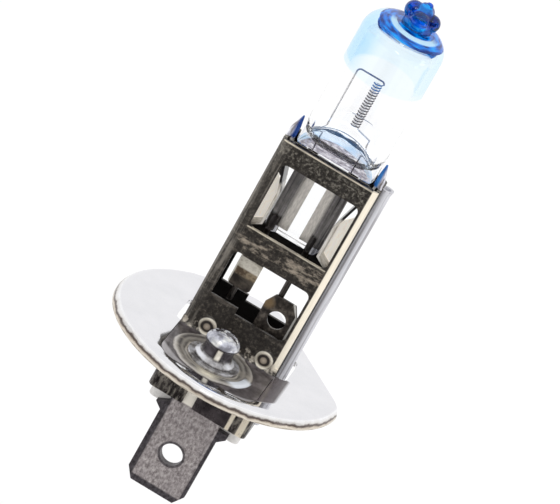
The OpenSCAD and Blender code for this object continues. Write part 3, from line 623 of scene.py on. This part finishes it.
def rivet_plate():
    """Bright cap with dim patches and a painted dark reflection on its crown, a barrel painted dark as a
    reflection with one painted upright highlight, and a scuffed skirt with painted highlights at its sides.
    """
    f = Finish("bright_rivet")
    cloud = f.noise(0.9, 3, 0.6)
    top = RIVET_HIGH.z
    cap = f.ramp(cloud, [(0.36, (0.30, 0.30, 0.34)), (0.46, (0.48, 0.49, 0.56)),
                         (0.56, (0.66, 0.67, 0.70)), (0.66, (0.92, 0.92, 0.90))])
    # painted reflection: a dark patch on the crown of the cap
    crown = f.times(f.along("Z", top - 0.5, top - 0.4), f.along("Y", RIVET_Y - 0.5, RIVET_Y - 0.2))
    cap = f.mix(f.times(crown, f.spread(f.noise(0.5, 2), 1, 0, 0.5, 0.58)), cap, (0.04, 0.035, 0.04))
    # painted reflection: the barrel is near black, with a painted highlight as one upright gleam
    barrel = f.ramp(cloud, [(0.4, (0.035, 0.030, 0.034)), (0.65, (0.09, 0.08, 0.09))])
    gleam = f.times(f.between("X", -0.30, 0.18, 0.08), f.between("Z", 0.75, 1.95, 0.1))
    barrel = f.mix(gleam, barrel, (0.98, 0.93, 0.82))
    skirt = f.ramp(cloud, [(0.38, (0.14, 0.13, 0.13)), (0.5, (0.34, 0.33, 0.33)), (0.62, (0.56, 0.56, 0.59))])
    # painted highlight: the skirt's outer edge turns pale towards its sides
    hem = f.ring(f.reach((RIVET_X, RIVET_Y, 0), (1, 1, 0)), 1.7, 2.05)
    hem = f.times(hem, f.spread(f.magnitude("X"), 0.2, 0.9, 1.0 * MM, 1.5 * MM))
    skirt = f.mix(hem, skirt, (0.82, 0.83, 0.88))
    tone = f.mix(f.along("Z", 0.75, 0.95), skirt, barrel)
    f.colour(f.mix(f.along("Z", top - 1.05, top - 0.9), tone, cap))
    f.set(Metallic=0.3, Roughness=0.22)
    f.bump(cloud, 0.006)
    return f.material


def blue_coat(f, above, away):
    """Mask and colour of the thin coat on the bulb's outer face, deeper where it is seen aslant."""
    outer = f.past(away, BORE_R + 0.3, BORE_R + 0.35)
    coated = f.times(above, f.greatest(outer, f.along("Z", BORE_TOP + 0.3, BORE_TOP + 0.35)))
    facing = f.add("ShaderNodeLayerWeight")
    facing.inputs["Blend"].default_value = 0.5
    aslant = f.ramp(facing.outputs["Facing"], [(0.35, (0.83, 0.945, 1.0)), (0.85, (0.50, 0.78, 1.0))])
    deep = f.mix(f.along("X", -1.5, -3.6), aslant, (0.52, 0.79, 1.0))
    return coated, f.mix(f.spread(f.noise(2.4, 2), 0.0, 0.25), deep, (0.66, 0.86, 1.0))


def quartz_material():
    """Clear quartz with a blue coat above, a mottled slanted face in front whose hollow glows with painted
    light, and painted shade streaked beside the foils.
    """
    f = Finish("coated_quartz")
    f.set(Roughness=0.0, IOR=1.46, Transmission_Weight=1.0)
    coat_tilt = -0.04
    level = f.coordinate("Z", f.mapped((1, 1, 1), (coat_tilt, 0, 0)))
    above = f.past(level, COAT_EDGE - 0.1, COAT_EDGE + 0.1)
    away = f.reach((0, 0, 0), (1, 1, 0))
    coated, coat = blue_coat(f, above, away)
    # painted shade: dark streaks beside the outer halves of the foils
    foil_shade_mask = f.times(f.along("Z", SLEEVE_TOP, SLEEVE_TOP - 0.6), f.past(f.magnitude("X"), 1.62, 1.78))
    foil_shade = f.noise(0.28, 2, 0.5, (1, 1, 0.03))
    foil_shade = f.ramp(foil_shade, [(0.38, (0.02, 0.02, 0.025)), (0.6, (0.30, 0.30, 0.32))])
    tone = f.mix(foil_shade_mask, (0.99, 0.993, 1.0), foil_shade)
    slanted = f.times(f.along("Z", SHOULDER_Z - 0.05, SHOULDER_Z + 0.05), f.along("Y", -0.9, -1.0))
    slanted = f.times(slanted, f.near_plane((0, -PINCH_HALF_T, SHOULDER_Z), SLANT, 0.2))
    slant_mottle = f.ramp(f.noise(0.55, 5, 0.7, (0.7, 1, 1.3)), [
        (0.36, (0.05, 0.045, 0.06)), (0.48, (0.22, 0.20, 0.25)), (0.58, (0.55, 0.53, 0.60)),
        (0.68, (0.95, 0.93, 0.92))])
    glow = f.ramp(f.noise(1.6, 3, 0.6, (0.6, 1, 1)), [
        (0.36, (0.55, 0.57, 0.62)), (0.5, (0.30, 0.52, 0.80)), (0.64, (0.62, 0.78, 0.92))])
    arch_rise, arch_half_w = 3.2, 4.12
    arch = f.reach((0, 0, 0), (arch_rise / arch_half_w, 1, 0))
    below = f.past(arch, arch_rise - 0.04, arch_rise - 0.12)
    tone = f.mix(slanted, tone, f.mix(below, glow, slant_mottle))
    bore_wall = f.times(above, f.past(away, BORE_R + 0.15, BORE_R + 0.1))
    bore_wall = f.times(bore_wall, f.along("Z", BORE_TOP - 1.2, BORE_TOP - 1.5))
    tone = f.mix(f.times(bore_wall, f.along("X", -1.9, -2.9)), tone, (0.76, 0.90, 1.0))
    tone = f.mix(f.times(bore_wall, f.along("X", 3.15, 3.28)), tone, (0.55, 0.78, 1.0))
    f.colour(f.mix(coated, tone, coat))
    # painted light: the inner slanted face of the hollow glows blue through emission
    hollow = f.near_plane((0, SHOULDER_WALL - PINCH_HALF_T, SHOULDER_Z), SLANT, 0.15)
    hollow = f.times(f.times(hollow, f.along("Y", -1.6, -1.9)), f.between("X", -3.3, 3.3))
    hollow_glow = f.mix(0.5, glow, (0.04, 0.13, 0.36))
    f.link(f.mix(hollow, (0.0, 0.0, 0.0), hollow_glow), f.shader.inputs["Emission Color"])
    f.set(Emission_Strength=0.3)
    f.bump(f.noise(1.6, 2), 0.01, 0.3)
    return f.material


def bore_cap_material():
    """Blue streaks that follow the ring, with a painted highlight as a pale crescent on the front, and the
    tone fed to emission as a painted glow.
    """
    f = Finish("dome_blue")
    f.set(Roughness=1.0, Specular_IOR_Level=0.0)
    away = f.reach((CAP_X, 0, 0), (1, 1, 0))
    across = f.arithmetic("SUBTRACT", f.coordinate("X"), CAP_X * MM)
    around = f.arithmetic("ARCTAN2", f.coordinate("Y"), across)
    streak_mm, streaks_round = 0.42, 1.5
    polar = f.add("ShaderNodeCombineXYZ")
    f.link(f.times(away, 1 / (streak_mm * MM)), polar.inputs["X"])
    f.link(f.times(around, streaks_round), polar.inputs["Y"])
    streaks = f.add("ShaderNodeTexNoise")
    streaks.inputs["Scale"].default_value = 1.0
    streaks.inputs["Detail"].default_value = 2
    f.link(polar.outputs["Vector"], streaks.inputs["Vector"])
    blues = f.ramp(streaks.outputs["Fac"], [(0.36, (0.0, 0.03, 0.20)), (0.45, (0.0, 0.09, 0.42)),
                                            (0.53, (0.0, 0.20, 0.75)), (0.63, (0.0, 0.40, 1.0))])
    # painted highlight: a pale crescent on the front of the ring
    crescent = f.times(f.past(away, 1.85, 1.95), f.past(away, 2.5, 2.35))
    tone = f.mix(f.times(crescent, f.along("Y", 0.3, -0.8)), blues, (0.70, 0.91, 1.0))
    f.colour(tone)
    # painted light: the blue tone also glows through emission
    f.link(tone, f.shader.inputs["Emission Color"])
    f.set(Emission_Strength=0.35)
    f.bump(streaks.outputs["Fac"], 0.05, 0.4)
    return f.material


def deep_blue_quartz():
    """Dark blue swirls in the melted tip."""
    f = Finish("deep_blue_quartz")
    f.set(Roughness=0.03, IOR=1.46, Transmission_Weight=1.0)
    swirl = f.noise(1.1, 2, 0.5)
    f.link(f.ramp(swirl, [(0.38, (0.0, 0.02, 0.13)), (0.5, (0.0, 0.085, 0.42)), (0.6, (0.0, 0.34, 0.92))]),
           f.shader.inputs["Base Color"])
    f.bump(f.noise(0.9, 2), 0.02, 0.5)
    return f.material


def wire_material(name, colour, rough, above=None):
    """Drawn wire or foil, with another colour on its uppermost stretch where one is given."""
    f = Finish(name)
    f.set(Metallic=1.0, Roughness=rough)
    drawn = f.noise(0.12, 3, 0.6, (1, 1, 0.2))
    tone = f.ramp(drawn, [(0.3, tuple(c * 0.6 for c in colour)), (0.7, colour)])
    if above:
        tone = f.mix(f.along("Z", LEG_TOP - 0.88, LEG_TOP - 0.28), tone, above)
    f.colour(tone)
    f.bump(drawn, 0.002)
    return f.material


def tungsten_material():
    """Dark drawn wire, paler where the far side of each turn catches the light from behind."""
    f = Finish("tungsten_wire")
    f.set(Metallic=1.0, Roughness=0.35)
    drawn = f.noise(0.1, 3, 0.6)
    near = f.ramp(drawn, [(0.3, (0.05, 0.045, 0.055)), (0.7, (0.15, 0.14, 0.16))])
    near = f.mix(f.along("Z", COIL_HIGH.z - 1.09, COIL_HIGH.z - 0.79), near, (0.01, 0.14, 0.42))
    f.link(f.mix(f.along("Y", -0.1, 0.15), near, (0.92, 0.92, 0.94)), f.shader.inputs["Base Color"])
    f.bump(drawn, 0.002)
    return f.material


def ceramic_material():
    """Matt off-white steatite with a fine grain."""
    f = Finish("steatite")
    f.set(Roughness=0.55, IOR=1.5)
    grain = f.noise(0.25, 4, 0.65)
    f.colour(f.ramp(grain, [(0.3, (0.60, 0.58, 0.56)), (0.7, (0.74, 0.72, 0.70))]))
    f.bump(grain, 0.01)
    return f.material


def blade_material():
    """Matt tin plate with a close grain, with painted shade on its bevelled sides, its end and round its hole,
    and a painted highlight under the band.
    """
    f = Finish("tinned_blade")
    grain = f.noise(0.3, 5, 0.75, (1, 1, 0.6))
    cloud = f.noise(2.0, 2)
    tone = f.ramp(grain, [(0.34, (0.10, 0.083, 0.083)), (0.46, (0.25, 0.22, 0.22)),
                          (0.56, (0.40, 0.365, 0.36)), (0.68, (0.60, 0.56, 0.54))])
    tone = f.mix(f.spread(cloud, 0, 0.35), tone, (0.20, 0.175, 0.18))
    left_x, right_x = BLADE_MIDDLE - BLADE_HALF_W, BLADE_MIDDLE + BLADE_HALF_W
    # painted shade on the bevelled sides, the end and round the hole
    left = f.along("X", left_x + 0.7, left_x + 0.55)
    right = f.along("X", right_x - 0.4, right_x - 0.3)
    end = f.along("Z", BLADE_END + 0.75, BLADE_END + 0.6)
    hole = f.reach((BLADE_MIDDLE, 0, BLADE_HOLE_Z), (1, 0, 1))
    hole = f.ring(hole, BLADE_HOLE_R - 0.15, BLADE_HOLE_R + 0.25, 0.04)
    shaded = f.greatest(left, right, end, f.times(hole, 0.85))
    rim = f.ramp(grain, [(0.4, (0.022, 0.018, 0.022)), (0.62, (0.085, 0.075, 0.085))])
    tone = f.mix(shaded, tone, rim)
    # painted highlight: a cream line just under the band
    root = f.times(f.along("Z", BAND_END - 0.1, BAND_END + 0.05), f.between("X", -1.5, 0.2))
    tone = f.mix(root, tone, (0.88, 0.83, 0.74))
    f.colour(tone)
    f.link(f.spread(grain, 0.36, 0.5), f.shader.inputs["Roughness"])
    f.set(Metallic=0.15)
    f.bump(grain, 0.012)
    return f.material


def band_plate():
    """Band round the insulator: dark and streaked in front, with pale upright gleams on its right."""
    f = Finish("dull_nickel")
    streak = f.noise(0.35, 4, 0.7, (1, 1, 0.35))
    tone = f.ramp(streak, [
        (0.38, (0.015, 0.012, 0.011)), (0.5, (0.045, 0.038, 0.036)), (0.62, (0.22, 0.20, 0.17))])
    smooth = f.ramp(f.noise(1.5, 3), [(0.4, (0.022, 0.017, 0.02)), (0.65, (0.07, 0.058, 0.062))])
    tone = f.mix(f.between("X", -0.1, 3.55), tone, smooth)
    gleam = f.greatest(f.between("X", 3.6, 4.0), f.between("X", 4.78, 5.4))
    tone = f.mix(gleam, tone, (0.80, 0.72, 0.58))
    f.colour(tone)
    f.set(Metallic=0.25)
    f.link(f.spread(streak, 0.2, 0.4), f.shader.inputs["Roughness"])
    f.bump(streak, 0.006)
    return f.material


# ---------------------------------------------------------------- making pieces

def finish_piece(bm, name, material, nodes, smooth_angle=35, recalc=True, unit=MM):
    """Turns a bmesh in millimetres into a piece on the lamp's one body that stands for those nodes."""
    if recalc:
        bmesh.ops.recalc_face_normals(bm, faces=bm.faces)
    bmesh.ops.scale(bm, vec=(unit, unit, unit), verts=bm.verts)
    mesh = bpy.data.meshes.new(name)
    bm.to_mesh(mesh)
    bm.free()
    mesh.shade_smooth()
    mesh.set_sharp_from_angle(angle=math.radians(smooth_angle))
    mesh.materials.append(material)
    piece = bpy.data.objects.new(name, mesh)
    bpy.context.scene.collection.objects.link(piece)
    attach(piece, "root")
    if nodes:
        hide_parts(*nodes)
    return piece


def node_copy(node):
    """A merged copy of a frame node, in millimetres."""
    bm = bmesh.new()
    bm.from_mesh(NODES[node].data)
    bmesh.ops.scale(bm, vec=(1 / MM, 1 / MM, 1 / MM), verts=bm.verts)
    bmesh.ops.remove_doubles(bm, verts=bm.verts, dist=0.001)
    bmesh.ops.dissolve_limit(bm, angle_limit=math.radians(1), verts=bm.verts, edges=bm.edges)
    return bm


def soften(piece, width_mm, segments=2, angle=32):
    """Breaks the edges that are sharper than the angle."""
    bevel = piece.modifiers.new("edge_break", "BEVEL")
    bevel.limit_method = "ANGLE"
    bevel.angle_limit = math.radians(angle)
    bevel.width = width_mm * MM
    bevel.segments = segments
    bevel.use_clamp_overlap = True
    bevel.harden_normals = False
    return piece


def sheet_piece(node, name, material, edge_mm=0.05, segments=2):
    """A pressed or cut piece: the node's own shape with its sharp edges broken."""
    piece = finish_piece(node_copy(node), name, material, [node], recalc=False)
    return soften(piece, edge_mm, segments)


def arc_points(centre, radius, start, end, steps):
    """Points on an arc in X and Z, with its angles in degrees."""
    angles = [math.radians(start + (end - start) * i / steps) for i in range(steps + 1)]
    return [Vector((centre[0] + radius * math.cos(a), 0, centre[1] + radius * math.sin(a))) for a in angles]


def turned(outline, steps=64, centre=(0, 0, 0)):
    """Spins an outline given in X and Z once round the Z axis."""
    bm = bmesh.new()
    verts = [bm.verts.new(p) for p in outline]
    edges = [bm.edges.new(pair) for pair in zip(verts, verts[1:])]
    bmesh.ops.spin(bm, geom=verts + edges, cent=(0, 0, 0), axis=(0, 0, 1), dvec=(0, 0, 0),
                   angle=2 * math.pi, steps=steps, use_merge=True, use_duplicate=False)
    bmesh.ops.remove_doubles(bm, verts=bm.verts, dist=0.0005)
    bmesh.ops.translate(bm, vec=centre, verts=bm.verts)
    return bm


def smooth_step(value, low, high):
    """Eases from 0 at low to 1 at high."""
    t = min(max((value - low) / (high - low), 0), 1)
    return t * t * (3 - 2 * t)


# ---------------------------------------------------------------- glass

def half_thickness(x, z):
    """Half the glass's thickness in Y: a thin web, two ridges, then the slanted lower faces of the bulb."""
    ridge_x, ridge_r = 2.3, 0.68
    blend_z = SHOULDER_Z - 0.4
    web = PINCH_HALF_T - PINCH_GROOVE
    across = abs(x)
    crown = PINCH_HALF_T * math.sqrt(max(0.04, 1 - (max(across - ridge_x, 0) / ridge_r) ** 2))
    seal = web + (crown - web) * smooth_step(across, 1.6, 1.95)
    if z <= blend_z:
        return seal
    if z <= SHOULDER_Z:
        return seal + (PINCH_HALF_T - seal) * smooth_step(z, blend_z, SHOULDER_Z)
    if z < ROUND_Z:
        return PINCH_HALF_T + (z - SHOULDER_Z) / SHOULDER_SLOPE
    if z < ROUND_Z + SHOULDER_R:
        t = (ROUND_Z + SHOULDER_R - z) / SHOULDER_R
        return BULB_R - SHOULDER_R + SHOULDER_R * math.sqrt(max(0, 1 - t * t))
    return BULB_R + 1


def glass_outline():
    """Half outline of the glass in X and Z, with a row of points wherever half_thickness bends."""
    neck_low, neck_high = SLEEVE_TOP - 1.4, SLEEVE_TOP + 0.4
    foot_z = PINCH_BASE + 0.25
    start = ROUND_Z + SHOULDER_R
    outline = [Vector((0, 0, PINCH_BASE)), Vector((PINCH_HALF_W - 0.2, 0, PINCH_BASE))]
    outline += [Vector((PINCH_HALF_W, 0, foot_z + (neck_low - foot_z) * i / 8)) for i in range(9)]
    heights = [neck_low + (neck_high - neck_low) * i / 12 for i in range(1, 13)]
    heights += [SHOULDER_Z - 0.4 + 0.1 * i for i in range(5)] + [SHOULDER_Z + 0.01]
    heights += [SHOULDER_Z + (ROUND_Z - SHOULDER_Z) * i / 24 for i in range(1, 25)]
    heights += [ROUND_Z + SHOULDER_R * (1 - math.cos(math.radians(15 * i))) for i in range(1, 7)]
    for z in sorted(set(round(h, 4) for h in heights)):
        widening = (BULB_R - PINCH_HALF_W) * smooth_step(z, neck_low, neck_high)
        outline.append(Vector((PINCH_HALF_W + widening, 0, z)))
    outline += [Vector((BULB_R, 0, start + (DOME_TOP - DOME_R - start) * i / 12)) for i in range(1, 12)]
    outline += arc_points((BULB_R - DOME_R, DOME_TOP - DOME_R), DOME_R, 0, 90, 16)
    return outline + [Vector((0, 0, DOME_TOP))]


def bore_outline():
    """Half outline of the bore in X and Z."""
    side_x = BORE_R - BORE_END_R
    outline = [Vector((0, 0, BORE_LOW))]
    outline += arc_points((side_x, BORE_LOW + BORE_END_R), BORE_END_R, -90, 0, 12)
    outline += [Vector((BORE_R, 0, BORE_LOW + BORE_END_R + 0.15 * i)) for i in range(1, 20)]
    outline += arc_points((side_x, BORE_TOP - BORE_END_R), BORE_END_R, 0, 90, 12)
    return outline + [Vector((0, 0, BORE_TOP))]


def quartz_envelope(material):
    """The bulb and its pinch in one skin, with the bore as a second skin that faces inwards."""
    outer = turned(glass_outline(), 128)
    for v in outer.verts:
        half = half_thickness(v.co.x, v.co.z)
        v.co.y = max(-half, min(half, v.co.y))
    inner = turned(bore_outline(), 128)
    for v in inner.verts:
        half = PINCH_HALF_T - SHOULDER_WALL + (v.co.z - SHOULDER_Z) / SHOULDER_SLOPE
        v.co.y = max(-half, min(half, v.co.y))
    bmesh.ops.recalc_face_normals(outer, faces=outer.faces)
    bmesh.ops.recalc_face_normals(inner, faces=inner.faces)
    bmesh.ops.reverse_faces(inner, faces=inner.faces)
    hollow = bpy.data.meshes.new("bore")
    inner.to_mesh(hollow)
    inner.free()
    outer.from_mesh(hollow)
    bpy.data.meshes.remove(hollow)
    return finish_piece(outer, "quartz_bulb", material, ["quartz_envelope"], 50, recalc=False)


def bore_cap(material):
    """Deep blue glow of the coated dome, held in the glass just above the bore."""
    r, low, high = 3.25, CAP_LOW, CAP_LOW + 0.3
    outline = [(0, low), (r - 0.5, low), (r - 0.06, low - 0.01), (r, low + 0.06), (r - 0.1, low + 0.16),
               (r - 0.6, high - 0.04), (r - 1.3, high + 0.1), (0, high + 0.14)]
    bm = turned([Vector((x, 0, z)) for x, z in outline], 96, (CAP_X, 0, 0))
    return finish_piece(bm, "bore_cap", material, [], 60)


def exhaust_tip(material):
    """Melted stub: a short stem, four swollen lobes and a drawn-out peak, run together."""
    low = DOME_TOP
    bm = bmesh.new()

    def blob(x, y, z, radius):
        made = bmesh.ops.create_icosphere(bm, subdivisions=4, radius=radius)
        bmesh.ops.translate(bm, vec=(TIP_X + x, y, low + z), verts=made["verts"])

    def stem(x, z, height, foot_r, top_r):
        made = bmesh.ops.create_cone(bm, cap_ends=True, segments=48, radius1=foot_r, radius2=top_r,
                                     depth=height)
        bmesh.ops.translate(bm, vec=(TIP_X + x, 0, low + z + height / 2), verts=made["verts"])

    stem(0, -0.3, 1.3, 1.56, 1.45)
    blob(-0.94, 0.0, 1.3, 0.95)
    blob(1.06, 0.0, 0.98, 0.87)
    blob(0.05, -0.9, 0.86, 0.98)
    blob(0.0, 0.95, 1.25, 0.92)
    stem(-0.05, 1.3, 1.15, 1.35, 0.42)
    blob(0.1, 0, 2.26, 0.44)
    return melted(bm, "exhaust_tip", material, ["exhaust_tip"])


def melted(bm, name, material, nodes):
    """Runs overlapping blobs together into one smooth skin."""
    bmesh.ops.scale(bm, vec=(MM, MM, MM), verts=bm.verts)
    rough = bpy.data.meshes.new(name + "_rough")
    bm.to_mesh(rough)
    bm.free()
    holder = bpy.data.objects.new(name + "_rough", rough)
    bpy.context.scene.collection.objects.link(holder)
    skin = holder.modifiers.new("skin", "REMESH")
    skin.mode = "VOXEL"
    skin.voxel_size = 0.07 * MM
    ease = holder.modifiers.new("ease", "SMOOTH")
    ease.iterations = 6
    bpy.context.view_layer.update()
    joined = bpy.data.meshes.new_from_object(holder.evaluated_get(bpy.context.evaluated_depsgraph_get()))
    bpy.data.objects.remove(holder)
    bpy.data.meshes.remove(rough)
    skin_bm = bmesh.new()
    skin_bm.from_mesh(joined)
    bpy.data.meshes.remove(joined)
    return finish_piece(skin_bm, name, material, nodes, 180, unit=1)


# ---------------------------------------------------------------- rivet and coil

def contact_rivet(material):
    """Upset end of the rivet: a skirted barrel under a domed cap with soft facets."""
    top, low = RIVET_HIGH.z - 0.1, RIVET_LOW.z
    shank_r, seat = 1.0, WASHER_TOP
    lower_head = [(0, low), (1.35, low), (1.72, low + 0.36), (1.72, low + 0.58), (shank_r, low + 0.6)]
    barrel = [(shank_r, seat), (2.1, seat + 0.01), (2.12, seat + 0.13), (1.98, seat + 0.25),
              (1.64, seat + 0.49), (1.53, seat + 0.8)]
    cap = [(1.51, top - 1.3), (1.58, top - 1.15), (1.72, top - 0.95), (1.75, top - 0.84), (1.68, top - 0.62),
           (1.46, top - 0.28), (1.2, top - 0.06), (0.8, top), (0.3, top), (0, top)]
    outline = lower_head + barrel + cap
    bm = turned([Vector((r, 0, z)) for r, z in outline], 72)
    for v in bm.verts:
        reach = math.hypot(v.co.x, v.co.y)
        around = math.atan2(v.co.y, v.co.x)
        if v.co.z > top - 1.0 and reach > 0.6:
            facets = 1 + math.cos(5 * around + 0.6)
            v.co.z -= 0.06 * facets * smooth_step(reach, 0.6, 1.4)
    bmesh.ops.translate(bm, vec=(RIVET_X, RIVET_Y, 0), verts=bm.verts)
    piece = finish_piece(bm, "contact_rivet_stud", material, ["contact_rivet"], 50)
    return soften(piece, 0.04, 2, 25)


def filament_coil(material):
    """A round wire wound along the lamp axis."""
    wire_r = 0.065
    coil_r = (COIL_HIGH.x - COIL_LOW.x) / 2 - wire_r
    turns = 17
    low, high = COIL_LOW.z + wire_r, COIL_HIGH.z - wire_r
    steps = 20 * turns
    bm = bmesh.new()
    ring = bmesh.ops.create_circle(bm, cap_ends=True, segments=8, radius=wire_r)
    bmesh.ops.rotate(bm, cent=(0, 0, 0), matrix=Matrix.Rotation(math.pi / 2, 3, "X"), verts=ring["verts"])
    bmesh.ops.translate(bm, vec=(coil_r, 0, low), verts=ring["verts"])
    bmesh.ops.spin(bm, geom=bm.faces[:] + bm.edges[:] + bm.verts[:], cent=(0, 0, 0), axis=(0, 0, 1),
                   dvec=(0, 0, (high - low) / steps), angle=2 * math.pi * turns, steps=steps, use_merge=False)
    return finish_piece(bm, "filament_coil", material, ["filament_coil"], 60)


# ---------------------------------------------------------------- assembly

place_camera()
build_stage()

SPRING = spring_plate()
RIVET = rivet_plate()
FOIL = wire_material("molybdenum_foil", (0.60, 0.565, 0.52), 0.35)
WIRE = wire_material("molybdenum_wire", (0.70, 0.68, 0.68), 0.4, (0.10, 0.14, 0.30))
LEAD = wire_material("lead_wire", (0.20, 0.18, 0.17), 0.35)

sheet_piece("mounting_flange", "mounting_flange_plate", flange_plate(), 0.06)
sheet_piece("holder_sleeve", "folded_sleeve", sleeve_plate(), 0.05)
sheet_piece("left_pinch_clip", "left_pinch_spring", SPRING, 0.04)
sheet_piece("right_pinch_clip", "right_pinch_spring", SPRING, 0.04)
sheet_piece("ground_tab", "ground_strap", ground_plate(), 0.06)
sheet_piece("contact_strip", "contact_strap", contact_plate(), 0.06)
contact_rivet(RIVET)
sheet_piece("rivet_washer", "rivet_washer_ring", RIVET, 0.05)
sheet_piece("insulator_block", "ceramic_block", ceramic_material(), 0.15, 3)
sheet_piece("insulator_band", "block_band", band_plate(), 0.06)
sheet_piece("blade_terminal", "blade_tab", blade_material(), 0.16, 3)
for side in ("left", "right"):
    sheet_piece(side + "_foil", side + "_seal_foil", FOIL, 0.01, 1)
    sheet_piece(side + "_outer_lead", side + "_lead_wire", LEAD, 0.12, 3)
for leg in ("long_filament_leg", "short_filament_leg"):
    sheet_piece(leg, leg.replace("filament_leg", "filament_wire"), WIRE, 0.02, 1)
quartz_envelope(quartz_material())
bore_cap(bore_cap_material())
exhaust_tip(deep_blue_quartz())
filament_coil(tungsten_material())
